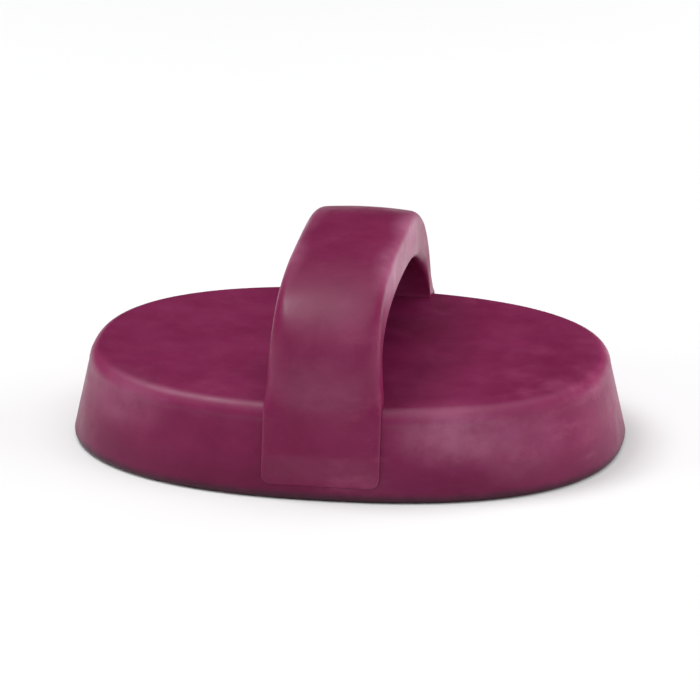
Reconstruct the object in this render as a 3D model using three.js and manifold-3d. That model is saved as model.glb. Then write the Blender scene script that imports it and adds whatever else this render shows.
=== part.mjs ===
// A curry comb for grooming a horse, with an arched hand strap.
//
// A moulded oval back carries a rubber strap whose two tabs are let into recesses in its side wall.
// Under the back a carrier plate holds three concentric toothed rings and a toothed bar, all rubber.
// X runs along the comb, Y across it and Z up. The comb stands on Z = 0 with its middle on the Z axis.

import * as THREE from "three";
import { mergeVertices } from "three/addons/utils/BufferGeometryUtils.js";
import Module from "manifold-3d";

const wasm = await Module();
wasm.setup();

// ---- Driving dimensions, in millimetres ----

const LENGTH = 150;
const WIDTH = 106;
const BACK_HEIGHT = 25; // the flat of the back
const LOOP_RISE = 32.5; // the strap's crown above the flat of the back
const OVAL_POWER = 2.35; // 2 would be an ellipse, and more is squarer
const GAP = 0.3; // between pieces that rest on each other

// The back, as distances from its middle on the short axis
const FOOT_RADIUS = WIDTH / 2;
const SKIRT_TOP = 20.5; // where the drafted skirt meets the rounded rim
const SKIRT_DRAFT = 4.3; // how far the skirt leans in over that height
const RIM_WIDTH = 4;
const FOOT_EDGE = 0.8;
const SKIRT_WALL = 3;
const BACK_PLATE = 3.5;
const LEDGE_HEIGHT = 12.5; // the carrier plate seats up against this ledge
const LEDGE_WIDTH = 2.2;

// The carrier plate and the teeth
const CARRIER_BOTTOM = 9.5;
const CARRIER_THICKNESS = 2.7;
const CARRIER_RADIUS = 47.5;
const TOOTH_TIP_HEIGHT = 0.3;
const TOOTH_DEPTH = 4.6;
const TIP_HALF_WIDTH = 1.3;
const ROOT_HALF_WIDTH = 2.8;
const RINGS = [
  { name: "outer_tooth_ring", radius: 40, teeth: 44, pegs: 8 },
  { name: "middle_tooth_ring", radius: 27, teeth: 32, pegs: 6 },
  { name: "inner_tooth_ring", radius: 14, teeth: 22, pegs: 4 },
];
const BAR_HALF_LENGTH = 24;
const BAR_TEETH = 7;
const BAR_PEG_OFFSET = 14;
const PEG = { radius: 2.1, headRadius: 2.9, headHeight: 2.6, holeRadius: 2.5, sides: 8 };

// The hand strap
const STRAP_HALF_WIDTH = 14.3;
const TAB_HALF_WIDTH = 15.8;
const FLARE_HEIGHT = 28; // the legs narrow from the tabs' width over this height above the back
const RECESS_DEPTH = 2;
const TAB_PROUD = 1.3; // how far a tab stands out of the side wall
const TAB_BOTTOM = 4.2;
const TAB_CORNER = 2.5;
const ARCH_OUTER = { halfSpan: 49.3, rise: LOOP_RISE - GAP, power: 3 };
const ARCH_INNER = { halfSpan: 41, rise: 19.3, power: 2.6 };
const ARCH_STEPS = 12; // from foot to crown
const CROWN_ROUNDING = 3; // along the strap's outer edges, over the crown
const LEG_ROUNDING = 5; // along the outer edges of the legs
const LOOP_ROUNDING = 2.6; // along the edges that the fingers meet
const TAB_ROUNDING = 2; // along the outer edges of the tabs
const SMALL_ROUNDING = 0.4; // where the strap lies against the back
const CORNER_STEPS = 3;

// Fasteners
const STRAP_SCREW_HEIGHT = 18; // on the recess floor
const STRAP_SCREW_SPREAD = 7;
const SEAT_INSET = 3.6; // from the recess floor to the clamp plate's seat, across the wall
const STRAP_SCREW = { shank: 1.5, head: 2.7, headHeight: 1.9, length: 7.6, holeRadius: 1.9 };
const CLAMP_PLATE = { width: 24, height: 6.4, thickness: 1.5 };
const NUT_PLATE = { width: 20, height: 6, thickness: 1.1, depth: 0.9 }; // moulded in, below the tab's face
const CARRIER_SCREW = { shank: 1.4, head: 3, headHeight: 1.8, length: 9.6, holeRadius: 1.75 };
const CARRIER_SCREW_RADIUS = 33.5;
const CARRIER_SCREW_COUNT = 6;
const BOSS_RADIUS = 4.2;
const PILOT_TOP = 20;
const FASTENER_SIDES = 12;

// Derived
const STRETCH = (LENGTH - WIDTH) / 2; // each oval is this much longer than wide, on each side
const CORE_RADIUS = 10; // inside this radius the stretch fades away to nothing at the middle
const SLOPE = SKIRT_DRAFT / SKIRT_TOP;
const WALL_TILT = Math.atan(SLOPE);
const CARRIER_TOP = CARRIER_BOTTOM + CARRIER_THICKNESS;
const CEILING = BACK_HEIGHT - BACK_PLATE;
const skirtAt = (z) => FOOT_RADIUS - SLOPE * (z - FOOT_EDGE);
const recessFloorAt = (z) => skirtAt(z) - RECESS_DEPTH;

// ---- Solids ----

function solidOf(geometry) {
  const bare = geometry.index ? geometry.toNonIndexed() : geometry.clone();
  bare.deleteAttribute("normal");
  bare.deleteAttribute("uv");
  const merged = mergeVertices(bare, 1e-3);
  return new wasm.Manifold(
    new wasm.Mesh({
      numProp: 3,
      vertProperties: merged.attributes.position.array,
      triVerts: new Uint32Array(merged.index.array),
    }),
  );
}

function geometryOf(solid) {
  const mesh = solid.getMesh();
  const geometry = new THREE.BufferGeometry();
  geometry.setAttribute("position", new THREE.BufferAttribute(mesh.vertProperties, 3));
  geometry.setIndex(new THREE.BufferAttribute(mesh.triVerts, 1));
  return geometry;
}

const addAll = (solid, others) => others.reduce((sum, other) => sum.add(other), solid);
const cutAll = (solid, others) => others.reduce((rest, other) => rest.subtract(other), solid);

// A profile of [radius, height] points, turned about Z.
function turned(profile, sides) {
  const points = profile.map(([radius, height]) => new THREE.Vector2(radius, height));
  return new THREE.LatheGeometry(points, sides).rotateX(Math.PI / 2);
}

function cylinder(radius, bottom, top, sides = FASTENER_SIDES) {
  return turned([[0, bottom], [radius, bottom], [radius, top], [0, top]], sides);
}

// A side view in the YZ plane as [y, z] points, given thickness along X by halfWidth(z).
function extrudedAcross(outline, halfWidth) {
  const shape = new THREE.Shape(outline.map(([y, z]) => new THREE.Vector2(y, z)));
  const geometry = new THREE.ExtrudeGeometry(shape, { depth: 1, bevelEnabled: false });
  const position = geometry.getAttribute("position");
  for (let i = 0; i < position.count; i++) {
    const y = position.getX(i);
    const z = position.getY(i);
    const side = position.getZ(i) > 0.5 ? 1 : -1;
    position.setXYZ(i, side * halfWidth(z), y, z);
  }
  return geometry;
}

// ---- The oval ----

const ovalHalfLength = (radius) => radius + STRETCH * Math.min(1, radius / CORE_RADIUS);

// The oval whose half width is `radius`, once round.
class Oval extends THREE.Curve {
  constructor(radius) {
    super();
    this.radius = radius;
    this.arcLengthDivisions = 2000;
  }

  getPoint(t, target = new THREE.Vector3()) {
    const c = Math.cos(2 * Math.PI * t);
    const s = Math.sin(2 * Math.PI * t);
    const half = (Math.abs(c) ** OVAL_POWER + Math.abs(s) ** OVAL_POWER) ** (-1 / OVAL_POWER);
    return target.set(half * c * ovalHalfLength(this.radius), half * s * this.radius, 0);
  }
}

// Stretches a round turned piece into the oval. Equal angles become equal steps along the oval of `radius`.
function madeOval(geometry, radius) {
  const guide = new Oval(radius);
  const position = geometry.getAttribute("position");
  const here = new Oval(radius);
  const point = new THREE.Vector3();
  for (let i = 0; i < position.count; i++) {
    const x = position.getX(i);
    const y = position.getY(i);
    const share = (Math.atan2(y, x) / (2 * Math.PI) + 1) % 1;
    here.radius = Math.hypot(x, y);
    here.getPoint(guide.getUtoTmapping(share), point);
    position.setXY(i, point.x, point.y);
  }
  return geometry;
}

// Count points spread evenly along the oval of `radius`, starting part of a step from the +X end.
function spreadOnOval(radius, count, start = 0) {
  const oval = new Oval(radius);
  return Array.from({ length: count }, (_, k) => oval.getPointAt((k + start) / count));
}

// ---- Back shell ----

const BACK_SIDES = 80;
const RIM_STEPS = 4;

function rimPoints() {
  const points = [];
  for (let k = 0; k <= RIM_STEPS; k++) {
    const turn = ((Math.PI / 2) * k) / RIM_STEPS;
    const radius = skirtAt(SKIRT_TOP) - RIM_WIDTH * (1 - Math.cos(turn));
    points.push([radius, SKIRT_TOP + (BACK_HEIGHT - SKIRT_TOP) * Math.sin(turn)]);
  }
  return points;
}

function backProfile() {
  const wallAtLedge = skirtAt(LEDGE_HEIGHT) - SKIRT_WALL;
  return [
    [0, CEILING],
    [wallAtLedge - LEDGE_WIDTH - 2, CEILING],
    [wallAtLedge - LEDGE_WIDTH, LEDGE_HEIGHT + 6],
    [wallAtLedge - LEDGE_WIDTH, LEDGE_HEIGHT],
    [wallAtLedge + 0.5, LEDGE_HEIGHT],
    [FOOT_RADIUS - SKIRT_WALL, 0],
    [FOOT_RADIUS - FOOT_EDGE, 0],
    [skirtAt(FOOT_EDGE), FOOT_EDGE],
    ...rimPoints(),
    [0, BACK_HEIGHT],
  ];
}

// The flat inside face that a strap clamp plate seats on.
function clampSeat() {
  const inner = (z) => -(recessFloorAt(z) - SEAT_INSET);
  const top = CEILING + 0.5;
  const buried = -recessFloorAt(top);
  return extrudedAcross(
    [[buried, LEDGE_HEIGHT], [inner(LEDGE_HEIGHT), LEDGE_HEIGHT], [inner(top), top], [buried, top]],
    () => TAB_HALF_WIDTH + 1,
  );
}

// The frame in which a strap tab is fastened: Z out through the wall and Y up it, from a point on the
// recess floor.
function tabMatrix(side) {
  const place = new THREE.Group();
  place.position.set(0, -recessFloorAt(STRAP_SCREW_HEIGHT), STRAP_SCREW_HEIGHT);
  place.rotation.x = Math.PI / 2 - WALL_TILT;
  const turn = new THREE.Group();
  turn.rotation.z = side.turn;
  turn.add(place);
  turn.updateMatrixWorld(true);
  return place.matrixWorld.clone();
}

const SIDES = [
  { name: "front", turn: 0 },
  { name: "rear", turn: Math.PI },
];

const screwHoles = (bottom, top) =>
  [-1, 1].map((hand) =>
    cylinder(STRAP_SCREW.holeRadius, bottom, top).translate(hand * STRAP_SCREW_SPREAD, 0, 0),
  );

function backShell() {
  const bossPlaces = spreadOnOval(CARRIER_SCREW_RADIUS, CARRIER_SCREW_COUNT);
  const boss = (radius, bottom, top) =>
    bossPlaces.map((at) => solidOf(cylinder(radius, bottom, top).translate(at.x, at.y, 0)));
  const turnedTo = (side, geometry) => solidOf(geometry.rotateZ(side.turn));

  let shell = solidOf(madeOval(turned(backProfile(), BACK_SIDES), FOOT_RADIUS));
  shell = addAll(shell, boss(BOSS_RADIUS, LEDGE_HEIGHT, CEILING + 1));
  shell = addAll(shell, SIDES.map((side) => turnedTo(side, clampSeat())));
  shell = cutAll(shell, boss(CARRIER_SCREW.holeRadius, LEDGE_HEIGHT - 1, PILOT_TOP));
  shell = cutAll(shell, SIDES.map((side) => turnedTo(side, lofted(tabRecessStations()))));
  for (const side of SIDES) {
    const holes = screwHoles(-SEAT_INSET - 2, RECESS_DEPTH);
    shell = cutAll(shell, holes.map((hole) => solidOf(hole.applyMatrix4(tabMatrix(side)))));
  }
  return geometryOf(shell);
}

// ---- Hand strap ----
//
// The strap is a row of rounded sections across X. Each runs from an inner to an outer [y, z] point.

// Joins a row of stations into one closed bar.
function lofted(stations) {
  const perCorner = CORNER_STEPS + 1;
  const bar = new THREE.CylinderGeometry(1, 1, 1, 4 * perCorner, stations.length - 1);
  const position = bar.getAttribute("position");
  for (let i = 0; i < position.count; i++) {
    const [x, y, z] = [position.getX(i), position.getY(i), position.getZ(i)];
    const station = stations[Math.round((0.5 - y) * (stations.length - 1))];
    const share = (Math.atan2(x, z) / (2 * Math.PI) + 1) % 1;
    const side = Math.round(share * 4 * perCorner) % (4 * perCorner);
    const isMiddle = Math.hypot(x, z) < 0.5;
    const section = isMiddle ? [0, 0] : roundedSection(station, side);
    const middle = new THREE.Vector2().addVectors(station.inner, station.outer).multiplyScalar(0.5);
    const across = new THREE.Vector2().subVectors(station.outer, station.inner).normalize();
    middle.addScaledVector(across, section[1]);
    position.setXYZ(i, section[0], middle.x, middle.y);
  }
  return bar;
}

// One point of a rectangle with rounded corners, as [across the strap, through its thickness].
function roundedSection(station, side) {
  const thickness = station.inner.distanceTo(station.outer);
  const corner = Math.floor(side / (CORNER_STEPS + 1));
  const turn = (Math.PI / 2) * (corner + (side % (CORNER_STEPS + 1)) / CORNER_STEPS);
  const right = corner === 0 || corner === 3 ? 1 : -1;
  const out = corner < 2 ? 1 : -1;
  const most = thickness - station.innerRounding - 0.2;
  const rounding = out > 0 ? Math.min(station.outerRounding, most) : station.innerRounding;
  return [
    right * (station.halfWidth - rounding) + rounding * Math.cos(turn),
    out * (thickness / 2 - rounding) + rounding * Math.sin(turn),
  ];
}

function strapHalfWidth(z) {
  if (z > BACK_HEIGHT) {
    const share = THREE.MathUtils.smoothstep(z, BACK_HEIGHT, BACK_HEIGHT + FLARE_HEIGHT);
    return TAB_HALF_WIDTH + (STRAP_HALF_WIDTH - TAB_HALF_WIDTH) * share;
  }
  const aboveEnd = Math.min(TAB_CORNER, z - TAB_BOTTOM);
  const cornerLoss = TAB_CORNER - Math.sqrt(TAB_CORNER ** 2 - (TAB_CORNER - aboveEnd) ** 2);
  return TAB_HALF_WIDTH - cornerLoss;
}

function outerRoundingAt(z) {
  const leg = THREE.MathUtils.smoothstep(z, BACK_HEIGHT, BACK_HEIGHT + 9);
  const crown = THREE.MathUtils.smoothstep(z, BACK_HEIGHT + 11, BACK_HEIGHT + 31);
  return TAB_ROUNDING + (LEG_ROUNDING - TAB_ROUNDING) * leg + (CROWN_ROUNDING - LEG_ROUNDING) * crown;
}

// From the end of the front tab up to the back's flat.
function tabStations(clearance) {
  const heights = [0, 0.8, TAB_CORNER, 6, 10, 14, 17.5, BACK_HEIGHT + 0.05 - TAB_BOTTOM];
  return heights.map((above, k) => {
    const z = TAB_BOTTOM + above;
    const proud = Math.min(TAB_PROUD, 0.3 + above * 0.2);
    return {
      inner: new THREE.Vector2(-recessFloorAt(z) - GAP + clearance, z - (k ? 0 : clearance)),
      outer: new THREE.Vector2(-skirtAt(z) - proud - clearance, z - (k ? 0 : clearance)),
      halfWidth: strapHalfWidth(z) + clearance,
      innerRounding: SMALL_ROUNDING,
      outerRounding: outerRoundingAt(z),
    };
  });
}

// What is cut away so that a strap tab can lie in the wall.
function tabRecessStations() {
  const stations = tabStations(GAP).map((station) => {
    const outer = station.outer.clone().setX(-FOOT_RADIUS - 3);
    return { ...station, outer, outerRounding: SMALL_ROUNDING };
  });
  const top = stations.at(-1);
  const raised = new THREE.Vector2(0, 2);
  const above = { ...top, inner: top.inner.clone().add(raised), outer: top.outer.clone().add(raised) };
  return [...stations, above];
}

function archPoint({ halfSpan, rise, power }, turn) {
  const y = -halfSpan * Math.cos(turn) ** (2 / power);
  const above = rise * Math.sin(turn) ** (2 / power);
  return new THREE.Vector2(y, BACK_HEIGHT + GAP + above);
}

// From the front foot to just short of the crown.
function legStations() {
  const stations = [];
  for (let k = 0; k < ARCH_STEPS; k++) {
    const turn = ((Math.PI / 2) * k) / ARCH_STEPS;
    const inner = archPoint(ARCH_INNER, turn);
    const outer = archPoint(ARCH_OUTER, turn);
    const halfWidth = strapHalfWidth((inner.y + outer.y) / 2);
    const innerRounding = k ? LOOP_ROUNDING : SMALL_ROUNDING;
    stations.push({ inner, outer, halfWidth, innerRounding, outerRounding: outerRoundingAt(outer.y) });
  }
  return stations;
}

function handStrap() {
  const front = [...tabStations(0), ...legStations()];
  const crown = {
    inner: new THREE.Vector2(0, BACK_HEIGHT + GAP + ARCH_INNER.rise),
    outer: new THREE.Vector2(0, BACK_HEIGHT + LOOP_RISE),
    halfWidth: STRAP_HALF_WIDTH,
    innerRounding: LOOP_ROUNDING,
    outerRounding: CROWN_ROUNDING,
  };
  const mirrored = (point) => new THREE.Vector2(-point.x, point.y);
  const rear = front.map((station) => {
    return { ...station, inner: mirrored(station.inner), outer: mirrored(station.outer) };
  });
  const stations = [...front, crown, ...rear.reverse()];
  return geometryOf(cutAll(solidOf(lofted(stations)), SIDES.flatMap(nutPocket)));
}

// The slot that holds a nut plate inside the tab, and the two holes that lead to it.
function nutPocket(side) {
  const size = [NUT_PLATE.width + 2 * GAP, NUT_PLATE.height + 2 * GAP, NUT_PLATE.thickness + GAP];
  const slot = new THREE.BoxGeometry(...size).translate(0, 0, NUT_PLATE.depth + size[2] / 2);
  const cutters = [slot, ...screwHoles(-1, NUT_PLATE.depth + GAP)];
  return cutters.map((cutter) => solidOf(cutter.applyMatrix4(tabMatrix(side))));
}

// ---- Strap fasteners, in the frame of tabMatrix ----

// A flat plate with two round holes for the strap screws.
function drilledPlate({ width, height, thickness }, holeRadius, bottom) {
  const corner = 1;
  const plate = new THREE.Shape();
  const [w, h] = [width / 2, height / 2];
  plate.moveTo(-w + corner, -h);
  plate.lineTo(w - corner, -h);
  plate.absarc(w - corner, -h + corner, corner, -Math.PI / 2, 0);
  plate.absarc(w - corner, h - corner, corner, 0, Math.PI / 2);
  plate.absarc(-w + corner, h - corner, corner, Math.PI / 2, Math.PI);
  plate.absarc(-w + corner, -h + corner, corner, Math.PI, 1.5 * Math.PI);
  plate.holes = [-1, 1].map((hand) => {
    const hole = new THREE.Path();
    hole.absarc(hand * STRAP_SCREW_SPREAD, 0, holeRadius, 0, 2 * Math.PI, true);
    return hole;
  });
  const options = { depth: thickness, bevelEnabled: false, curveSegments: 3 };
  return new THREE.ExtrudeGeometry(plate, options).translate(0, 0, bottom);
}

// A pan-head screw with a cross recess. The underside of its head is at Z = 0 and its shank points up.
function screw({ shank, head, headHeight, length }) {
  const body = turned(
    [
      [0, -headHeight],
      [head * 0.7, -headHeight],
      [head, -headHeight * 0.5],
      [head, 0],
      [shank, 0],
      [shank, length - shank],
      [shank * 0.4, length],
      [0, length],
    ],
    FASTENER_SIDES,
  );
  const depth = headHeight * 0.6;
  const slot = (width, height) =>
    solidOf(new THREE.BoxGeometry(width, height, 2 * depth).translate(0, 0, -headHeight));
  const cross = slot(head * 1.2, head * 0.32).add(slot(head * 0.32, head * 1.2));
  return geometryOf(solidOf(body).subtract(cross));
}

// ---- Carrier and teeth ----

// The barbed peg that holds a toothed piece on the carrier.
function peg(at) {
  const { radius, headRadius, headHeight, sides } = PEG;
  const shoulder = CARRIER_TOP + GAP;
  const profile = [
    [0, CARRIER_BOTTOM - 2],
    [radius, CARRIER_BOTTOM - 2],
    [radius, shoulder],
    [headRadius, shoulder],
    [headRadius * 0.5, shoulder + headHeight],
    [0, shoulder + headHeight],
  ];
  return turned(profile, sides).translate(at.x, at.y, 0);
}

const ringPegPlaces = (ring) => spreadOnOval(ring.radius, ring.pegs, 0.5);
const barPegPlaces = [-1, 1].map((hand) => new THREE.Vector3(hand * BAR_PEG_OFFSET, 0, 0));
const rootHeight = CARRIER_BOTTOM - GAP;

function toothRing(ring) {
  const profile = [
    [ring.radius - TIP_HALF_WIDTH, TOOTH_TIP_HEIGHT],
    [ring.radius + TIP_HALF_WIDTH, TOOTH_TIP_HEIGHT],
    [ring.radius + ROOT_HALF_WIDTH, rootHeight],
    [ring.radius - ROOT_HALF_WIDTH, rootHeight],
    [ring.radius - TIP_HALF_WIDTH, TOOTH_TIP_HEIGHT],
  ];
  const blade = turned(profile, 2 * ring.teeth);
  const position = blade.getAttribute("position");
  for (let i = 0; i < position.count; i++) {
    const isValley = Math.floor(i / profile.length) % 2 === 1;
    const isEdge = Math.abs(position.getZ(i) - TOOTH_TIP_HEIGHT) < 1e-3;
    if (isValley && isEdge) position.setZ(i, TOOTH_TIP_HEIGHT + TOOTH_DEPTH);
  }
  const solid = solidOf(madeOval(blade, ring.radius));
  return geometryOf(addAll(solid, ringPegPlaces(ring).map((at) => solidOf(peg(at)))));
}

// A straight blade along X whose lower edge is cut into teeth.
function toothBar() {
  const edge = [];
  for (let k = 0; k <= 2 * BAR_TEETH; k++) {
    const x = -BAR_HALF_LENGTH + (k * BAR_HALF_LENGTH) / BAR_TEETH;
    edge.push(new THREE.Vector2(x, TOOTH_TIP_HEIGHT + (k % 2 ? 0 : TOOTH_DEPTH)));
  }
  const shape = new THREE.Shape([
    ...edge,
    new THREE.Vector2(BAR_HALF_LENGTH, rootHeight),
    new THREE.Vector2(-BAR_HALF_LENGTH, rootHeight),
  ]);
  const blade = new THREE.ExtrudeGeometry(shape, { depth: 2, bevelEnabled: false }).translate(0, 0, -1);
  const position = blade.getAttribute("position");
  for (let i = 0; i < position.count; i++) {
    const z = position.getY(i);
    const share = (z - TOOTH_TIP_HEIGHT) / (rootHeight - TOOTH_TIP_HEIGHT);
    const halfWidth = TIP_HALF_WIDTH + (ROOT_HALF_WIDTH - TIP_HALF_WIDTH) * share;
    position.setXYZ(i, position.getX(i), -position.getZ(i) * halfWidth, z);
  }
  return geometryOf(addAll(solidOf(blade), barPegPlaces.map((at) => solidOf(peg(at)))));
}

function toothCarrier() {
  const profile = [
    [0, CARRIER_BOTTOM],
    [CARRIER_RADIUS - 0.5, CARRIER_BOTTOM],
    [CARRIER_RADIUS, CARRIER_BOTTOM + 0.5],
    [CARRIER_RADIUS, CARRIER_TOP],
    [0, CARRIER_TOP],
  ];
  const plate = solidOf(madeOval(turned(profile, BACK_SIDES), CARRIER_RADIUS));
  const hole = (radius, sides) => (at) =>
    solidOf(cylinder(radius, CARRIER_BOTTOM - 1, CARRIER_TOP + 1, sides).translate(at.x, at.y, 0));
  const pegPlaces = [...RINGS.flatMap(ringPegPlaces), ...barPegPlaces];
  const screwPlaces = spreadOnOval(CARRIER_SCREW_RADIUS, CARRIER_SCREW_COUNT);
  const pegHoles = pegPlaces.map(hole(PEG.holeRadius, PEG.sides));
  const holes = screwPlaces.map(hole(CARRIER_SCREW.holeRadius, FASTENER_SIDES));
  return geometryOf(cutAll(plate, [...pegHoles, ...holes]));
}

// ---- Materials ----

const finish = (color, roughness, metalness = 0) =>
  new THREE.MeshStandardMaterial({ color, roughness, metalness });
const PLUM_SHELL = finish(0x7a2c50, 0.5);
const PLUM_RUBBER = finish(0x762a4c, 0.58);
const TOOTH_RUBBER = finish(0x64213f, 0.65);
const CARRIER_PLASTIC = finish(0x551c37, 0.55);
const STEEL = finish(0xb8babd, 0.3, 1);

// ---- Assembly ----

const comb = new THREE.Group();

function place(parent, name, geometry, material) {
  const mesh = new THREE.Mesh(geometry, material);
  mesh.name = name;
  parent.add(mesh);
  return mesh;
}

place(comb, "back_shell", backShell(), PLUM_SHELL);
place(comb, "hand_strap", handStrap(), PLUM_RUBBER);
place(comb, "tooth_carrier", toothCarrier(), CARRIER_PLASTIC);
for (const ring of RINGS) place(comb, ring.name, toothRing(ring), TOOTH_RUBBER);
place(comb, "centre_tooth_bar", toothBar(), TOOTH_RUBBER);

spreadOnOval(CARRIER_SCREW_RADIUS, CARRIER_SCREW_COUNT).forEach((at, k) => {
  const fastener = place(comb, `carrier_screw_${k + 1}`, screw(CARRIER_SCREW), STEEL);
  fastener.position.set(at.x, at.y, CARRIER_BOTTOM - GAP);
});

for (const side of SIDES) {
  const tab = new THREE.Group();
  tab.applyMatrix4(tabMatrix(side));
  comb.add(tab);

  const clampTop = -SEAT_INSET * Math.cos(WALL_TILT) - GAP;
  const clampBottom = clampTop - CLAMP_PLATE.thickness;
  const clamp = drilledPlate(CLAMP_PLATE, STRAP_SCREW.holeRadius, clampBottom);
  place(tab, `${side.name}_strap_clamp_plate`, clamp, STEEL);

  const nut = drilledPlate(NUT_PLATE, STRAP_SCREW.holeRadius, NUT_PLATE.depth + GAP / 2);
  place(tab, `${side.name}_strap_nut_plate`, nut, STEEL);

  for (const [hand, label] of [[-1, "left"], [1, "right"]]) {
    const fastener = place(tab, `${side.name}_strap_screw_${label}`, screw(STRAP_SCREW), STEEL);
    fastener.position.set(hand * STRAP_SCREW_SPREAD, 0, clampBottom - GAP);
  }
}

export default comb;
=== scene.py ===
"""The looks of a curry comb: an oval back with an arched hand strap, and rubber teeth underneath."""

import math

import bmesh
import bpy
import numpy as np
from mathutils import Matrix, Vector


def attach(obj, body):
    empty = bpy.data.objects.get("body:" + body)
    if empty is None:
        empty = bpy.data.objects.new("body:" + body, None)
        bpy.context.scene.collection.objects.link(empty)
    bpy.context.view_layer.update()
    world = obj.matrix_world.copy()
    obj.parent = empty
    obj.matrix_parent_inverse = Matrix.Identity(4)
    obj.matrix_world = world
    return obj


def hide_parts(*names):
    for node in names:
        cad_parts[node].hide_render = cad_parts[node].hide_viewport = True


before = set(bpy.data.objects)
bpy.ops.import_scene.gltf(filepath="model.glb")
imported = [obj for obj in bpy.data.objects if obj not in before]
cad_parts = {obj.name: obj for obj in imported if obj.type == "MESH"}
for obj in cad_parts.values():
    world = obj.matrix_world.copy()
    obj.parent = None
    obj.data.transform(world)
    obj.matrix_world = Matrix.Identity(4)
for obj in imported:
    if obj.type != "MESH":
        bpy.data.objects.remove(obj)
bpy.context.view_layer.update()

MM = 0.001

# ---- Dimensions in millimetres: the CAD model's sizes, with finer roundings ----

FOOT_RADIUS = 53.0
STRETCH = 22.0
CORE_RADIUS = 10.0
OVAL_POWER = 2.35
BACK_HEIGHT = 25.0
GAP = 0.3
SEAM = 0.08  # between the visible surfaces of the strap and the back

SKIRT_TOP = 20.5
SKIRT_DRAFT = 4.3
RIM_WIDTH = 4.0
FOOT_EDGE = 0.8
FOOT_ROUNDING = 1.6
SKIRT_WALL = 3.0
CEILING = 21.5
BACK_CAP = 20.0  # inside this radius the top and the ceiling are flat
LEDGE_HEIGHT = 12.5
LEDGE_WIDTH = 2.2

CARRIER_BOTTOM = 9.5
CARRIER_TOP = 12.2
CARRIER_RADIUS = 47.5
BELOW_CARRIER = 8.0  # where the pegs start, inside the teeth
ABOVE_CARRIER = 14.0
TOOTH_TIP = 0.3
TOOTH_DEPTH = 4.6
STEPS_PER_TOOTH = 14
TIP_HALF_WIDTH = 1.3
ROOT_HALF_WIDTH = 2.8
RINGS = [
    ("outer_tooth_ring", 40.0, 44, 8),
    ("middle_tooth_ring", 27.0, 32, 6),
    ("inner_tooth_ring", 14.0, 22, 4),
]
BAR_HALF_LENGTH = 24.0
BAR_TEETH = 7
BAR_PEG_OFFSET = 14.0
PEG_RADIUS = 2.1
PEG_HEAD_RADIUS = 2.9
PEG_HEAD_HEIGHT = 2.6
PEG_HOLE_RADIUS = 2.5

STRAP_HALF_WIDTH = 14.3
TAB_HALF_WIDTH = 15.8
FLARE_HEIGHT = 28.0
RECESS_DEPTH = 2.0
TAB_PROUD = 1.3
TAB_BOTTOM = 4.2
TAB_CORNER = 2.5
OUTER_ARCH = (49.3, 32.2, 3.0)  # half span, rise and power
INNER_ARCH = (41.0, 19.3, 2.6)
TAB_FALL = 0.2  # how far the strap's outer face falls towards its edges
CROWN_FALL = 0.9
TAB_END_ROWS = 20  # rows of points at each end of the strap that smoothing leaves alone
HEEL_STEPS = 8  # between a tab and its leg
SOLE_ROUNDING = 0.3  # where the strap lies against the back
LOOP_ROUNDING = 2.5  # along the edges that the fingers meet

# Along the strap's outer edges, as (along X, through its thickness)
TAB_ROUNDING = np.array([10.0, 0.03])
LEG_ROUNDING = np.array([9.0, 4.83])
CROWN_ROUNDING = np.array([2.6, 1.43])

CARRIER_SCREW = {"shank": 1.4, "head": 3.0, "head_height": 1.8, "length": 9.6}
CARRIER_SCREW_HOLE = 1.75
CARRIER_SCREW_RADIUS = 33.5
CARRIER_SCREW_COUNT = 6
STRAP_SCREW = {"shank": 1.5, "head": 2.7, "head_height": 1.9, "length": 7.6}
STRAP_SCREW_HEIGHT = 18.0  # on the recess floor
STRAP_SCREW_SPREAD = 7.0
SEAT_INSET = 3.6  # from the recess floor to the clamp plate's seat, across the wall
CLAMP_THICKNESS = 1.5

SLOPE = SKIRT_DRAFT / SKIRT_TOP
WALL_TILT = math.atan(SLOPE)


def skirt_at(z):
    return FOOT_RADIUS - SLOPE * (z - FOOT_EDGE)


def recess_floor_at(z):
    return skirt_at(z) - RECESS_DEPTH


# ---- Meshes ----


def new_object(name, verts, faces, smooth_angle=35):
    """A smooth-shaded mesh object from vertices in millimetres, with its faces pointing out."""
    mesh = bpy.data.meshes.new(name)
    mesh.from_pydata([tuple(float(c) * MM for c in v) for v in verts], [], faces)
    bm = bmesh.new()
    bm.from_mesh(mesh)
    bmesh.ops.remove_doubles(bm, verts=bm.verts, dist=1e-7)
    bmesh.ops.recalc_face_normals(bm, faces=bm.faces)
    bm.to_mesh(mesh)
    bm.free()
    shade(mesh, smooth_angle)
    obj = bpy.data.objects.new(name, mesh)
    bpy.context.scene.collection.objects.link(obj)
    return obj


def shade(mesh, smooth_angle):
    mesh.polygons.foreach_set("use_smooth", [True] * len(mesh.polygons))
    mesh.set_sharp_from_angle(angle=math.radians(smooth_angle))


def grid_faces(rows, columns, close_rows=False, start=0):
    """Quads between rows of points. Columns always close on themselves."""
    faces = []
    for r in range(rows if close_rows else rows - 1):
        for c in range(columns):
            here, below = r * columns, ((r + 1) % rows) * columns
            right = (c + 1) % columns
            faces.append([start + here + c, start + here + right, start + below + right, start + below + c])
    return faces


def lofted(name, sections, smooth_angle=35):
    """A closed bar through rows of points, with flat ends."""
    rows, columns = len(sections), len(sections[0])
    faces = grid_faces(rows, columns)
    faces.append(list(range(columns)))
    faces.append([(rows - 1) * columns + c for c in reversed(range(columns))])
    return new_object(name, np.concatenate(sections), faces, smooth_angle)


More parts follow.
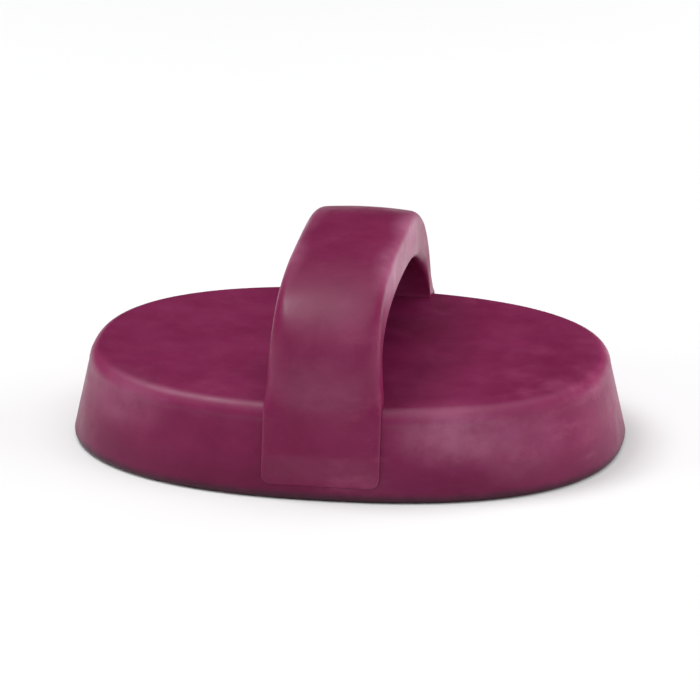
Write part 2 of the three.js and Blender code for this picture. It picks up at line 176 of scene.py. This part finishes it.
def clean(mesh):
    """Merges points that meet, cuts faces of over four sides into triangles and drops empty ones."""
    bm = bmesh.new()
    bm.from_mesh(mesh)
    bmesh.ops.remove_doubles(bm, verts=bm.verts, dist=2e-6)
    bmesh.ops.triangulate(bm, faces=[face for face in bm.faces if len(face.verts) > 4])
    bmesh.ops.dissolve_degenerate(bm, edges=bm.edges, dist=1e-6)
    bm.to_mesh(mesh)
    bm.free()


def cut_with(obj, cutters, operation="DIFFERENCE", smooth_angle=35):
    """Joins or cuts obj with other closed objects, which are used up."""
    for cutter in cutters:
        modifier = obj.modifiers.new("cut", "BOOLEAN")
        modifier.operation = operation
        modifier.solver = "EXACT"
        modifier.object = cutter
    graph = bpy.context.evaluated_depsgraph_get()
    mesh = bpy.data.meshes.new_from_object(obj.evaluated_get(graph))
    obj.modifiers.clear()
    obj.data = mesh
    clean(mesh)
    shade(mesh, smooth_angle)
    for cutter in cutters:
        bpy.data.objects.remove(cutter)


def turned(name, profile, sides):
    """A profile of (radius, height) turned about Z. It starts and ends on the axis."""
    angle = np.linspace(0, 2 * np.pi, sides, endpoint=False)
    rows = [np.stack([r * np.cos(angle), r * np.sin(angle), np.full(sides, z)], -1) for r, z in profile]
    return new_object(name, np.concatenate(rows), grid_faces(len(rows), sides))


def join(objects):
    """One object of several closed bodies, to cut or join with."""
    target = objects[0]
    bm = bmesh.new()
    for obj in objects:
        bm.from_mesh(obj.data)
    bm.to_mesh(target.data)
    bm.free()
    for obj in objects[1:]:
        bpy.data.objects.remove(obj)
    return target


def finish_piece(obj, node, material):
    """Puts obj in the place of a CAD node."""
    obj.data.materials.clear()
    obj.data.materials.append(material)
    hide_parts(node)
    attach(obj, "root")


# ---- The oval ----


def oval(radius, turn):
    """Points of the oval whose half width is radius."""
    c, s = np.cos(turn), np.sin(turn)
    half = (np.abs(c) ** OVAL_POWER + np.abs(s) ** OVAL_POWER) ** (-1 / OVAL_POWER)
    half_length = radius + STRETCH * min(1.0, radius / CORE_RADIUS)
    return np.stack([half * c * half_length, half * s * radius], -1)


def even_turns(radius, count, start=0.0):
    """The turns of points spread evenly along an oval."""
    turn = np.linspace(0, 2 * np.pi, 6001)
    steps = np.linalg.norm(np.diff(oval(radius, turn), axis=0), axis=1)
    length = np.concatenate([[0], np.cumsum(steps)])
    return np.interp((np.arange(count) + start) / count * length[-1], length, turn)


def oval_rows(profile, turns):
    return [np.column_stack([oval(r, turns), np.full(len(turns), z)]) for r, z in profile]


def arc(centre, radii, start, end, steps):
    """Points of a quarter or so of an ellipse, from start to end in degrees."""
    angle = np.radians(np.linspace(start, end, steps))
    return [(centre[0] + radii[0] * math.cos(a), centre[1] + radii[1] * math.sin(a)) for a in angle]


def between(a, b, steps):
    """Points from a up to, and without, b."""
    return [(a[0] + (b[0] - a[0]) * k / steps, a[1] + (b[1] - a[1]) * k / steps) for k in range(steps)]


# ---- Procedural materials ----


class Nodes:
    """A small builder for one material's node tree."""

    def __init__(self, name):
        self.material = bpy.data.materials.new(name)
        self.material.use_nodes = True
        self.tree = self.material.node_tree
        self.shader = self.tree.nodes["Principled BSDF"]
        self.place = self.add("ShaderNodeTexCoord").outputs["Object"]

    def add(self, kind, **inputs):
        node = self.tree.nodes.new(kind)
        for name, value in inputs.items():
            self.put(node.inputs[name], value)
        return node

    def put(self, socket, value):
        if isinstance(value, bpy.types.NodeSocket):
            self.tree.links.new(value, socket)
        else:
            socket.default_value = value

    def noise(self, scale, detail=3.0, roughness=0.5, stretch=(1, 1, 1)):
        """Noise with features of about 1/scale metres."""
        mapping = self.add("ShaderNodeMapping", Vector=self.place, Scale=stretch)
        node = self.add("ShaderNodeTexNoise", Vector=mapping.outputs[0], Scale=scale, Detail=detail)
        node.inputs["Roughness"].default_value = roughness
        return node.outputs["Fac"]

    def span(self, value, low, high, to_low=0.0, to_high=1.0):
        node = self.add("ShaderNodeMapRange", Value=value)
        node.interpolation_type = "SMOOTHSTEP"
        for name, number in zip(("From Min", "From Max", "To Min", "To Max"), (low, high, to_low, to_high)):
            node.inputs[name].default_value = number
        return node.outputs[0]

    def math(self, operation, a, b):
        node = self.add("ShaderNodeMath")
        node.operation = operation
        self.put(node.inputs[0], a)
        self.put(node.inputs[1], b)
        return node.outputs[0]

    def near(self, at, reach, scale):
        """1 at a point in millimetres, fading to 0 at reach. A larger scale narrows that direction."""
        away = self.add("ShaderNodeVectorMath")
        away.operation = "SUBTRACT"
        self.put(away.inputs[0], self.place)
        self.put(away.inputs[1], [c * MM for c in at])
        scaled = self.add("ShaderNodeVectorMath")
        scaled.operation = "MULTIPLY"
        self.put(scaled.inputs[0], away.outputs[0])
        self.put(scaled.inputs[1], scale)
        length = self.add("ShaderNodeVectorMath")
        length.operation = "LENGTH"
        self.put(length.inputs[0], scaled.outputs[0])
        return self.span(length.outputs["Value"], 0.2 * reach * MM, reach * MM, 1.0, 0.0)

    def mix(self, share, a, b):
        node = self.add("ShaderNodeMix")
        node.data_type = "RGBA"
        self.put(node.inputs[0], share)
        self.put(node.inputs[6], a)
        self.put(node.inputs[7], b)
        return node.outputs[2]

    def bump(self, height, distance, strength=1.0, normal=None):
        node = self.add("ShaderNodeBump", Height=height, Distance=distance, Strength=strength)
        if normal is not None:
            self.put(node.inputs["Normal"], normal)
        return node.outputs[0]

    def finish(self, **inputs):
        for name, value in inputs.items():
            self.put(self.shader.inputs[name.replace("_", " ")], value)
        return self.material


def linear(*channels):
    """An sRGB colour of three channels, each over 10 and up to 255, as a linear one."""
    return (*(((c / 255 + 0.055) / 1.055) ** 2.4 for c in channels), 1.0)


# Painted highlight: a pale plum laid in patches where the light falls brighter.
PAINTED_HIGHLIGHT = linear(196, 128, 160)
# Painted shade: a near-black plum laid under the strap and along the foot.
PAINTED_SHADE = (0.024, 0.004, 0.012, 1)


def edges_pale_wear_and_highlight(n, edge_paleness):
    """Every outward edge of the mesh, made paler: partly wear, partly a painted highlight."""
    return n.span(n.add("ShaderNodeNewGeometry").outputs["Pointiness"], 0.505, 0.56, 0.0, edge_paleness)


def rim_highlight_and_wear(n, edge_paleness):
    """The band where the side wall rounds over into the top, made paler: a painted highlight, and partly
    wear.
    """
    height = n.add("ShaderNodeSeparateXYZ", Vector=n.place).outputs["Z"]
    from_below = n.span(height, (SKIRT_TOP - 0.4) * MM, (BACK_HEIGHT - 1.8) * MM)
    from_above = n.span(height, (BACK_HEIGHT - 0.7) * MM, BACK_HEIGHT * MM, edge_paleness, 0.0)
    return n.math("MULTIPLY", from_below, from_above)


def dust_and_edge_highlight(n, deep, pale, edge_paleness, rim):
    """A colour mottled between two, paler with dust and along a rim or edges, which are partly worn and
    partly a painted highlight.
    """
    mottle = n.span(n.noise(48, 5, 0.62), 0.32, 0.68)
    streaks = n.span(n.noise(55, 4, 0.65, stretch=(1, 1, 2.6)), 0.48, 0.78)
    specks = n.span(n.noise(900, 3, 0.6), 0.55, 0.8)
    edges = rim_highlight_and_wear(n, edge_paleness) if rim else edges_pale_wear_and_highlight(n, edge_paleness)
    dust = n.math("MULTIPLY", streaks, n.span(n.noise(18, 2), 0.4, 0.65, 0.1, 0.6))
    dust = n.math("ADD", dust, n.math("MULTIPLY", specks, 0.12))
    colour = n.mix(n.math("MULTIPLY", mottle, 0.7), deep, pale)
    # One pale tone for the dust and for the painted highlight along the rim and edges.
    dust_and_highlight_tone = (*(c * 1.25 + 0.03 for c in pale[:3]), 1)
    return n.mix(n.math("ADD", dust, edges), colour, dust_and_highlight_tone)


def with_painted_light(n, colour, painted_patches):
    """A colour with ragged patches of painted highlight and painted shade, each as (colour, place, reach,
    scale, strength).
    """
    for tone, at, reach, scale, strength in painted_patches:
        patchy = n.span(n.noise(120, 4, 0.6), 0.25, 0.7, 0.4 * strength, strength)
        colour = n.mix(n.math("MULTIPLY", n.near(at, reach, scale), patchy), colour, tone)
    return colour


def shade_towards_foot(n, colour, foot_shade):
    """A colour darkened over the lowest few millimetres, where the piece stands, and faintly up to 14 mm:
    painted shade.
    """
    height = n.add("ShaderNodeSeparateXYZ", Vector=n.place).outputs["Z"]
    ragged = n.math("ADD", height, n.math("MULTIPLY", n.noise(220, 3), 0.0012))
    foot = n.span(ragged, 0.0014, 0.004, 0.7 * foot_shade, 0.0)
    above = n.span(height, 0.003, 0.014, 0.25 * foot_shade, 0.0)
    return n.mix(n.math("ADD", foot, above), colour, PAINTED_SHADE)


def moulded(name, deep, pale, roughness, grain=1.0, edge_paleness=0.3, rim=False, foot_shade=0.0, painted_patches=()):
    """Moulded rubber or plastic, with a fine matte grain."""
    n = Nodes(name)
    # The paler rim and edges are partly a painted highlight, the patches are painted highlight and painted
    # shade, and the darkening near the foot is painted shade.
    colour = shade_towards_foot(n, with_painted_light(n, dust_and_edge_highlight(n, deep, pale, edge_paleness, rim), painted_patches), foot_shade)
    shine = n.span(n.noise(130, 5, 0.65), 0.3, 0.7, roughness - 0.05, roughness + 0.07)
    waves = n.bump(n.noise(75, 2), 0.0006, 0.22)
    normal = n.bump(n.noise(2600, 2, 0.6), 0.00006, 0.3 * grain, waves)
    return n.finish(Base_Color=colour, Roughness=shine, Normal=normal, IOR=1.5, Specular_IOR_Level=0.3)


def steel(name):
    """Zinc-plated steel with a faint brushed grain."""
    n = Nodes(name)
    tone = n.span(n.noise(420, 4, 0.6), 0.3, 0.7)
    colour = n.mix(tone, linear(176, 178, 180), linear(214, 215, 214))
    shine = n.span(n.noise(700, 3, stretch=(1, 6, 1)), 0.3, 0.7, 0.24, 0.38)
    normal = n.bump(n.noise(2400, 2, stretch=(1, 8, 1)), 0.00004, 0.35)
    return n.finish(Base_Color=colour, Metallic=1.0, Roughness=shine, Normal=normal)


# Painted light on the back: painted highlights on the front wall and rim, and painted shade on the top
# under the strap.
BACK_PAINTED_LIGHT = [
    (PAINTED_HIGHLIGHT, (35, -48, 18), 20, (1, 1, 1.8), 0.42),
    (PAINTED_HIGHLIGHT, (53, -41, 14), 20, (1, 1, 1.6), 0.22),
    (PAINTED_HIGHLIGHT, (-58, -35, 19), 20, (1, 1, 2), 0.2),
    (PAINTED_SHADE, (5, 19, 25), 30, (1.3, 1, 1), 0.4),
    (PAINTED_SHADE, (-5, -19, 25), 30, (1.3, 1, 1), 0.3),
]
# Painted light on the strap: painted highlights on the sides of the crown and the front of each leg, and
# painted shade inside the loop near each foot.
STRAP_PAINTED_LIGHT = []
for end in (-1, 1):
    STRAP_PAINTED_LIGHT += [(PAINTED_HIGHLIGHT, (side * 16, end * 15, 49), 25, (3, 1, 1), 0.48) for side in (-1, 1)]
    STRAP_PAINTED_LIGHT.append((PAINTED_HIGHLIGHT, (0, end * 47, 40), 24, (1.2, 1, 0.9), 0.1))
    STRAP_PAINTED_LIGHT.append((PAINTED_SHADE, (0, end * 34, 30), 22, (1.1, 1.6, 0.8), 0.35))
BACK_PLUM = moulded(
    "plum_back", linear(112, 19, 65), linear(128, 34, 80), 0.4, rim=True, foot_shade=0.9, painted_patches=BACK_PAINTED_LIGHT
)
STRAP_PLUM = moulded("plum_strap", linear(113, 21, 65), linear(128, 36, 79), 0.38, 1.2, painted_patches=STRAP_PAINTED_LIGHT)
TOOTH_PLUM = moulded("plum_teeth", linear(92, 22, 54), linear(110, 36, 70), 0.58, 1.6, 0.4)
CARRIER_PLUM = moulded("plum_carrier", linear(76, 18, 44), linear(92, 28, 58), 0.5, 1.6, 0.2)
STEEL = steel("zinc_steel")

# ---- The strap's shape ----


def strap_half_width(z):
    if z > BACK_HEIGHT:
        share = smooth_share(z, BACK_HEIGHT, BACK_HEIGHT + FLARE_HEIGHT)
        return TAB_HALF_WIDTH + (STRAP_HALF_WIDTH - TAB_HALF_WIDTH) * share
    above = min(TAB_CORNER, z - TAB_BOTTOM)
    loss = TAB_CORNER - math.sqrt(max(0.0, TAB_CORNER**2 - (TAB_CORNER - above) ** 2))
    return TAB_HALF_WIDTH - loss


def smooth_share(value, low, high):
    share = min(1.0, max(0.0, (value - low) / (high - low)))
    return share * share * (3 - 2 * share)


def proud_at(z):
    """How far the tab stands out of the wall: very little at its lower end, and more further up."""
    return 0.05 + (TAB_PROUD - 0.05) * smooth_share(z, TAB_BOTTOM, TAB_BOTTOM + 9)


def tab_stations(clearance):
    """Rows of (inner point, outer point, half width) up the front tab."""
    stations = []
    heights = [0, 0.15, 0.4, 0.8, 1.3, 1.9, *np.linspace(2.6, BACK_HEIGHT + 0.05 - TAB_BOTTOM, 34)]
    for above in heights:
        z = TAB_BOTTOM + above
        drop = clearance if above == 0 else 0
        stations.append(
            (
                np.array([-recess_floor_at(z) - SEAM + clearance, z - drop]),
                np.array([-skirt_at(z) - proud_at(z) - clearance, z - drop]),
                strap_half_width(z) + GAP - SEAM + clearance,
            )
        )
    return stations


def arch_point(arch, turn):
    half_span, rise, power = arch
    y = -half_span * max(0.0, math.cos(turn)) ** (2 / power)
    return np.array([y, BACK_HEIGHT + SEAM + rise * math.sin(turn) ** (2 / power)])


def leg_stations():
    """From the front foot to the crown."""
    stations = []
    for turn in np.linspace(0.0, math.pi / 2, 90):
        inner = arch_point(INNER_ARCH, turn)
        outer = arch_point(OUTER_ARCH, turn) + np.array([0, 0.2])
        stations.append((inner, outer, strap_half_width((inner[1] + outer[1]) / 2)))
    return stations


def foot_stations(last, first):
    """The sections between the tab's last one and the leg's first, over the rim of the back."""
    shares = [k / HEEL_STEPS for k in range(1, HEEL_STEPS)]
    return [tuple(a + (b - a) * s for a, b in zip(last, first)) for s in shares]


def rounded_section(inner, outer, half_width, inner_rounding, outer_rounding, fall):
    """A rounded rectangle between two points of the YZ plane, wide along X.

    Each rounding is (along X, through the thickness). The outer face falls by fall at its edges.
    """
    thickness = float(np.linalg.norm(outer - inner))
    across = (outer - inner) / thickness
    outline = []
    for centre, quarter in (((1, 1), 0), ((-1, 1), 1), ((-1, -1), 2), ((1, -1), 3)):
        wide, deep = outer_rounding if centre[1] > 0 else inner_rounding
        deep = min(deep, thickness - inner_rounding[1] - 0.05)
        middle = (centre[0] * (half_width - wide), centre[1] * (thickness / 2 - deep))
        outline += arc(middle, (wide, deep), quarter * 90, quarter * 90 + 90, 11)
        if quarter in (0, 2):
            end = (-centre[0] * (half_width - wide), outline[-1][1])
            outline += between(outline[-1], end, 12)[1:]
    points = []
    for x, out in outline:
        sunk = fall * (x / half_width) ** 2 * max(0.0, out / (thickness / 2))
        middle = (inner + outer) / 2 + across * (out - sunk)
        points.append((x, middle[0], middle[1]))
    return np.array(points)


def relaxed(points, rounds, kept):
    """Points with small kinks smoothed away. The first and last few are kept."""
    points = np.array(points)
    first, last = kept, len(points) - kept
    for _ in range(rounds):
        neighbours = points[first - 1 : last - 1] + points[first + 1 : last + 1]
        points[first:last] = points[first:last] * 0.5 + neighbours * 0.25
    return points


def outer_rounding_at(z):
    """Broad and shallow on the tabs, round on the legs and tight at the crown."""
    leg = smooth_share(z, BACK_HEIGHT - 3, BACK_HEIGHT + 9)
    crown = smooth_share(z, BACK_HEIGHT + 11, BACK_HEIGHT + 31)
    low = TAB_ROUNDING + (LEG_ROUNDING - TAB_ROUNDING) * leg
    wide, deep = low + (CROWN_ROUNDING - LEG_ROUNDING) * crown
    return wide, proud_at(z) + deep


def hand_strap():
    """The strap and its tabs. The slots and holes hidden inside the tabs are left out."""
    tab, leg = tab_stations(0), leg_stations()
    front = tab + foot_stations(tab[-1], leg[0]) + leg
    mirror = np.array([-1, 1])
    rear = [(inner * mirror, outer * mirror, width) for inner, outer, width in reversed(front[:-1])]
    stations = front + rear
    outers = relaxed([outer for _, outer, _ in stations], 45, TAB_END_ROWS)
    widths = relaxed([width for _, _, width in stations], 10, TAB_END_ROWS)
    sections = []
    first_on_leg = len(tab) + HEEL_STEPS
    for k, (inner, _, _) in enumerate(stations):
        outer = outers[k]
        from_end = min(k, len(stations) - 1 - k)
        off_sole = smooth_share(from_end, first_on_leg - 4, first_on_leg + 30)
        inner_rounding = SOLE_ROUNDING + (LOOP_ROUNDING - SOLE_ROUNDING) * off_sole
        roundings = (inner_rounding, inner_rounding), outer_rounding_at(outer[1])
        above_wall = smooth_share(outer[1], BACK_HEIGHT - 4, BACK_HEIGHT + 24)
        fall = TAB_FALL + (CROWN_FALL - TAB_FALL) * above_wall
        sections.append(rounded_section(inner, outer, widths[k], *roundings, fall))
    return lofted("strap", sections, 50)


def tab_recess_cutter(side):
    """The pocket in the side wall that a tab lies in."""
    beyond = -FOOT_RADIUS - 4
    stations = [(inner, np.array([beyond, outer[1]]), width) for inner, outer, width in tab_stations(SEAM)]
    inner, outer, width = stations[-1]
    stations.append((inner + np.array([0, 3]), outer + np.array([0, 3]), width))
    obj = lofted("recess", [rounded_section(*station, (0.3, 0.3), (0.3, 0.3), 0) for station in stations])
    obj.data.transform(Matrix.Rotation(side, 4, "Z"))
    return obj


# ---- Back shell ----

SIDES = {"front": 0.0, "rear": math.pi}


def screw_places():
    return oval(CARRIER_SCREW_RADIUS, even_turns(CARRIER_SCREW_RADIUS, CARRIER_SCREW_COUNT))


def back_profile():
    """Once round the wall, from the middle of the top over the rim and up inside to the ceiling."""
    wall = skirt_at(LEDGE_HEIGHT) - SKIRT_WALL
    rim_foot = (skirt_at(SKIRT_TOP), SKIRT_TOP)
    foot = (skirt_at(FOOT_ROUNDING), FOOT_ROUNDING)
    return [
        *between((BACK_CAP, BACK_HEIGHT), (FOOT_RADIUS - SKIRT_DRAFT - RIM_WIDTH, BACK_HEIGHT), 10),
        *arc((rim_foot[0] - RIM_WIDTH, SKIRT_TOP), (RIM_WIDTH, BACK_HEIGHT - SKIRT_TOP), 90, 0, 17)[:-1],
        *between(rim_foot, foot, 14),
        *arc((foot[0] - FOOT_ROUNDING, FOOT_ROUNDING), (FOOT_ROUNDING, FOOT_ROUNDING), 0, -90, 8),
        (FOOT_RADIUS - SKIRT_WALL + 0.3, 0),
        (FOOT_RADIUS - SKIRT_WALL, 0.3),
        *between((FOOT_RADIUS - SKIRT_WALL, 0.3), (wall + 0.5, LEDGE_HEIGHT), 6)[1:],
        (wall + 0.5, LEDGE_HEIGHT),
        (wall - LEDGE_WIDTH, LEDGE_HEIGHT),
        (wall - LEDGE_WIDTH, LEDGE_HEIGHT + 6),
        (wall - LEDGE_WIDTH - 2, CEILING),
        (BACK_CAP, CEILING),
    ]


def back_shell():
    """The top, rim and wall. The bosses, seats and screw holes that the carrier hides are left out."""
    turns = even_turns(FOOT_RADIUS, 320)
    shell = lofted("back", oval_rows(back_profile(), turns))
    cut_with(shell, [tab_recess_cutter(turn) for turn in SIDES.values()])
    return shell


# ---- Teeth ----


def tooth_height(share):
    """How far the toothed edge is above the tips, 0 at a tip and 1 in a valley, both rounded."""
    ramp = abs(2 * (share % 1) - 1)
    blunt = 0.02
    soft = (math.sqrt(ramp**2 + blunt) - math.sqrt(blunt)) / (math.sqrt(1 + blunt) - math.sqrt(blunt))
    return 0.65 * soft + 0.35 * smooth_share(ramp, 0, 1)


def tooth_section(above):
    """(out, height) points of the blade's cross-section where its edge is this share of a tooth up."""
    root = CARRIER_BOTTOM - GAP
    edge = TOOTH_TIP + TOOTH_DEPTH * above
    half = TIP_HALF_WIDTH + (ROOT_HALF_WIDTH - TIP_HALF_WIDTH) * above * TOOTH_DEPTH / (root - TOOTH_TIP)
    shoulder = edge + half * 0.9
    tip = arc((0, shoulder), (half, half * 0.9), 0, -180, 11)
    right = [(ROOT_HALF_WIDTH - 0.4, root), *between((ROOT_HALF_WIDTH, root - 0.5), (half, shoulder), 4)]
    left = [(-out, z) for out, z in reversed(right)]
    return right + tip + left


def standing_at(at, obj):
    obj.data.transform(Matrix.Translation((at[0] * MM, at[1] * MM, 0)))
    return obj


def peg(at):
    """The barbed peg above a blade, which goes through the carrier."""
    neck = CARRIER_TOP + GAP
    tip = neck + PEG_HEAD_HEIGHT
    head = PEG_HEAD_RADIUS
    barb = [(head, neck), (head - 0.15, neck + 0.5), (head / 2, tip), (0, tip)]
    profile = [(0, BELOW_CARRIER), (PEG_RADIUS, BELOW_CARRIER), (PEG_RADIUS, neck), *barb]
    return standing_at(at, turned("peg", profile, 24))


def tooth_ring(name, radius, teeth, pegs):
    turns = even_turns(radius, teeth * STEPS_PER_TOOTH)
    middle = oval(radius, turns)
    ahead = np.roll(middle, -1, axis=0) - np.roll(middle, 1, axis=0)
    out = np.stack([ahead[:, 1], -ahead[:, 0]], -1) / np.linalg.norm(ahead, axis=1)[:, None]
    verts = []
    for k in range(len(turns)):
        for side, z in tooth_section(tooth_height(k / STEPS_PER_TOOTH + 0.5)):
            verts.append((*(middle[k] + out[k] * side), z))
    columns = len(verts) // len(turns)
    blade = new_object(name, verts, grid_faces(len(turns), columns, close_rows=True))
    pegs = join([peg(at) for at in oval(radius, even_turns(radius, pegs, 0.5))])
    cut_with(blade, [pegs], "UNION")
    return blade


def tooth_bar():
    steps = BAR_TEETH * STEPS_PER_TOOTH
    sections = []
    for k in range(steps + 1):
        x = -BAR_HALF_LENGTH + 2 * BAR_HALF_LENGTH * k / steps
        outline = tooth_section(tooth_height(k / STEPS_PER_TOOTH))
        sections.append(np.array([(x, side, z) for side, z in outline]))
    blade = lofted("bar", sections)
    pegs = join([peg((hand * BAR_PEG_OFFSET, 0)) for hand in (-1, 1)])
    cut_with(blade, [pegs], "UNION")
    return blade


def hole(radius, sides, at):
    """A cutter that goes right through the carrier."""
    wall = [(radius, BELOW_CARRIER), (radius, ABOVE_CARRIER)]
    return standing_at(at, turned("hole", [(0, BELOW_CARRIER), *wall, (0, ABOVE_CARRIER)], sides))


def tooth_carrier():
    turns = even_turns(CARRIER_RADIUS, 240)
    cap = 8  # inside this radius each face is one flat polygon
    profile = [
        (cap, CARRIER_BOTTOM),
        *arc((CARRIER_RADIUS - 0.6, CARRIER_BOTTOM + 0.6), (0.6, 0.6), -90, 0, 6),
        (CARRIER_RADIUS, CARRIER_TOP),
        (cap, CARRIER_TOP),
    ]
    plate = lofted("carrier", oval_rows(profile, turns))
    pegs = [oval(radius, even_turns(radius, count, 0.5)) for _, radius, _, count in RINGS]
    pegs.append([(-BAR_PEG_OFFSET, 0), (BAR_PEG_OFFSET, 0)])
    holes = [hole(CARRIER_SCREW_HOLE, 32, at) for at in screw_places()]
    holes += [hole(PEG_HOLE_RADIUS, 24, at) for at in np.concatenate(pegs)]
    cut_with(plate, [join(holes)])
    return plate


# ---- Screws ----


def screw(name, shank, head, head_height, length):
    """A pan-head screw with a cross recess, pointing up from the underside of its head."""
    dome = arc((0, -0.35 * head_height), (head, -0.65 * head_height), 90, 0, 10)
    rounded = [*dome, (head, -0.2), (head - 0.15, 0), (shank, 0)]
    pitch, root = 0.7, shank - 0.3
    thread = []
    for k in range(int((length - shank - 0.8) / pitch)):
        base = 0.6 + pitch * k
        thread += [(root, base), (shank, base + pitch / 2)]
    tip = [(root, length - shank), (0.25, length), (0, length)]
    obj = turned(name, rounded + thread + tip, 48)
    depth = head_height * 0.62
    cross = []
    for w, h in ((head * 1.15, head * 0.3), (head * 0.3, head * 1.15)):
        cross.append(box_object("cross", (w, h, 2 * depth), (0, 0, -head_height)))
    cut_with(obj, [cross[0]], smooth_angle=30)
    cut_with(obj, [cross[1]], smooth_angle=30)
    return obj


def box_object(name, size, centre):
    bm = bmesh.new()
    bmesh.ops.create_cube(bm, size=1)
    bmesh.ops.scale(bm, vec=Vector(size) * MM, verts=bm.verts)
    bmesh.ops.translate(bm, vec=Vector(centre) * MM, verts=bm.verts)
    mesh = bpy.data.meshes.new(name)
    bm.to_mesh(mesh)
    bm.free()
    obj = bpy.data.objects.new(name, mesh)
    bpy.context.scene.collection.objects.link(obj)
    return obj


def tab_matrix(turn):
    """Z out through the wall and Y up it, from the recess floor at the strap screws' height."""
    middle = Vector((0, -recess_floor_at(STRAP_SCREW_HEIGHT), STRAP_SCREW_HEIGHT))
    place = Matrix.Translation(middle * MM)
    return Matrix.Rotation(turn, 4, "Z") @ place @ Matrix.Rotation(math.pi / 2 - WALL_TILT, 4, "X")


def add_screws():
    for k, at in enumerate(screw_places()):
        obj = screw(f"screw_under_{k + 1}", **CARRIER_SCREW)
        obj.data.transform(Matrix.Rotation(0.7 * k, 4, "Z"))
        obj.data.transform(Matrix.Translation(Vector((at[0], at[1], CARRIER_BOTTOM - GAP)) * MM))
        finish_piece(obj, f"carrier_screw_{k + 1}", STEEL)
    seat = -SEAT_INSET * math.cos(WALL_TILT) - 2 * GAP - CLAMP_THICKNESS
    for side, turn in SIDES.items():
        for hand, label in ((-1, "left"), (1, "right")):
            obj = screw(f"screw_{side}_{label}", **STRAP_SCREW)
            place = Matrix.Translation(Vector((hand * STRAP_SCREW_SPREAD, 0, seat)) * MM)
            obj.data.transform(tab_matrix(turn) @ place)
            finish_piece(obj, f"{side}_strap_screw_{label}", STEEL)


def finish_plates():
    """The CAD plates stay as they are, in plated steel."""
    for side in SIDES:
        for piece in ("clamp_plate", "nut_plate"):
            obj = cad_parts[f"{side}_strap_{piece}"]
            obj.data.materials.clear()
            obj.data.materials.append(STEEL)


# ---- Floor, light and camera ----


def add_floor():
    """Pale paper, with a faint glow of its own beyond the reach of the lights."""
    bpy.ops.mesh.primitive_plane_add(size=8, location=(0, 0, 0))
    floor = bpy.context.object
    floor.name = "floor"
    n = Nodes("floor_paper")
    colour = n.mix(n.noise(6, 2), (0.86, 0.86, 0.87, 1), (0.89, 0.89, 0.89, 1))
    glow = n.math("SUBTRACT", 0.42, n.math("MULTIPLY", n.near((0, 0, 0), 1500, (1, 1, 1)), 0.42))
    paper = {"Base_Color": colour, "Emission_Color": colour, "Emission_Strength": glow}
    floor.data.materials.append(n.finish(**paper, Roughness=0.9, Specular_IOR_Level=0.0))


def add_light(name, at, size, power, mirrored=True):
    """A softbox that faces the middle. One that isn't mirrored leaves no glare on what it lights."""
    data = bpy.data.lights.new(name, "AREA")
    data.shape = "RECTANGLE"
    data.size, data.size_y = size
    data.energy = power
    obj = bpy.data.objects.new(name, data)
    obj.visible_glossy = mirrored
    obj.location = at
    aim = Vector((0, 0, 0.03)) - Vector(at)
    obj.rotation_euler = aim.to_track_quat("-Z", "Y").to_euler()
    bpy.context.scene.collection.objects.link(obj)


def add_world(zenith, horizon):
    """A soft dome, brighter overhead. The camera sees plain pale paper beyond the floor."""
    world = bpy.data.worlds.new("studio")
    world.use_nodes = True
    tree = world.node_tree
    tree.nodes.clear()
    place = tree.nodes.new("ShaderNodeTexCoord").outputs["Generated"]
    height = tree.nodes.new("ShaderNodeSeparateXYZ")
    ramp = tree.nodes.new("ShaderNodeMapRange")
    ramp.interpolation_type = "SMOOTHSTEP"
    for name, value in zip(("From Min", "From Max", "To Min", "To Max"), (0.45, 1.0, horizon, zenith)):
        ramp.inputs[name].default_value = value
    dome = tree.nodes.new("ShaderNodeBackground")
    paper = tree.nodes.new("ShaderNodeBackground")
    paper.inputs["Color"].default_value = (0.95, 0.95, 0.95, 1)
    seen = tree.nodes.new("ShaderNodeLightPath").outputs["Is Camera Ray"]
    either = tree.nodes.new("ShaderNodeMixShader")
    out = tree.nodes.new("ShaderNodeOutputWorld")
    tree.links.new(place, height.inputs[0])
    tree.links.new(height.outputs["Z"], ramp.inputs["Value"])
    tree.links.new(ramp.outputs[0], dome.inputs["Strength"])
    tree.links.new(seen, either.inputs[0])
    tree.links.new(dome.outputs[0], either.inputs[1])
    tree.links.new(paper.outputs[0], either.inputs[2])
    tree.links.new(either.outputs[0], out.inputs[0])
    bpy.context.scene.world = world


def add_camera(azimuth, elevation, distance, target, field_mm):
    """A long lens that takes in field_mm at the target, azimuth degrees towards +X from the front."""
    a, e = math.radians(azimuth), math.radians(elevation)
    back = Vector((math.sin(a) * math.cos(e), -math.cos(a) * math.cos(e), math.sin(e)))
    data = bpy.data.cameras.new("camera")
    data.sensor_width = 36
    data.lens = data.sensor_width * distance / (field_mm * MM)
    data.clip_start, data.clip_end = 0.1, 20
    obj = bpy.data.objects.new("camera", data)
    obj.location = Vector(target) * MM + back * distance
    obj.rotation_mode = "QUATERNION"
    obj.rotation_quaternion = (-back).to_track_quat("-Z", "Y")
    bpy.context.scene.collection.objects.link(obj)
    bpy.context.scene.camera = obj


# ---- Assembly ----

finish_piece(back_shell(), "back_shell", BACK_PLUM)
finish_piece(hand_strap(), "hand_strap", STRAP_PLUM)
finish_piece(tooth_carrier(), "tooth_carrier", CARRIER_PLUM)
for ring in RINGS:
    piece = tooth_ring(*ring)
    piece.name = ring[0].replace("tooth_ring", "teeth")
    finish_piece(piece, ring[0], TOOTH_PLUM)
finish_piece(tooth_bar(), "centre_tooth_bar", TOOTH_PLUM)
add_screws()
finish_plates()

add_floor()
add_world(1.6, 0.02)
add_light("right", (0.85, -0.2, 0.25), (0.6, 0.4), 3.2, mirrored=False)
add_light("right_rear", (0.7, 0.45, 0.16), (0.6, 0.25), 3.5, mirrored=False)
add_light("left", (-0.85, -0.35, 0.3), (0.6, 0.4), 3.5, mirrored=False)
add_light("top", (-0.45, 0.05, 0.95), (0.45, 0.45), 4)
add_camera(9, 20.5, 3.26, (0, 0, 24), 190)
bpy.context.scene.view_settings.view_transform = "Standard"
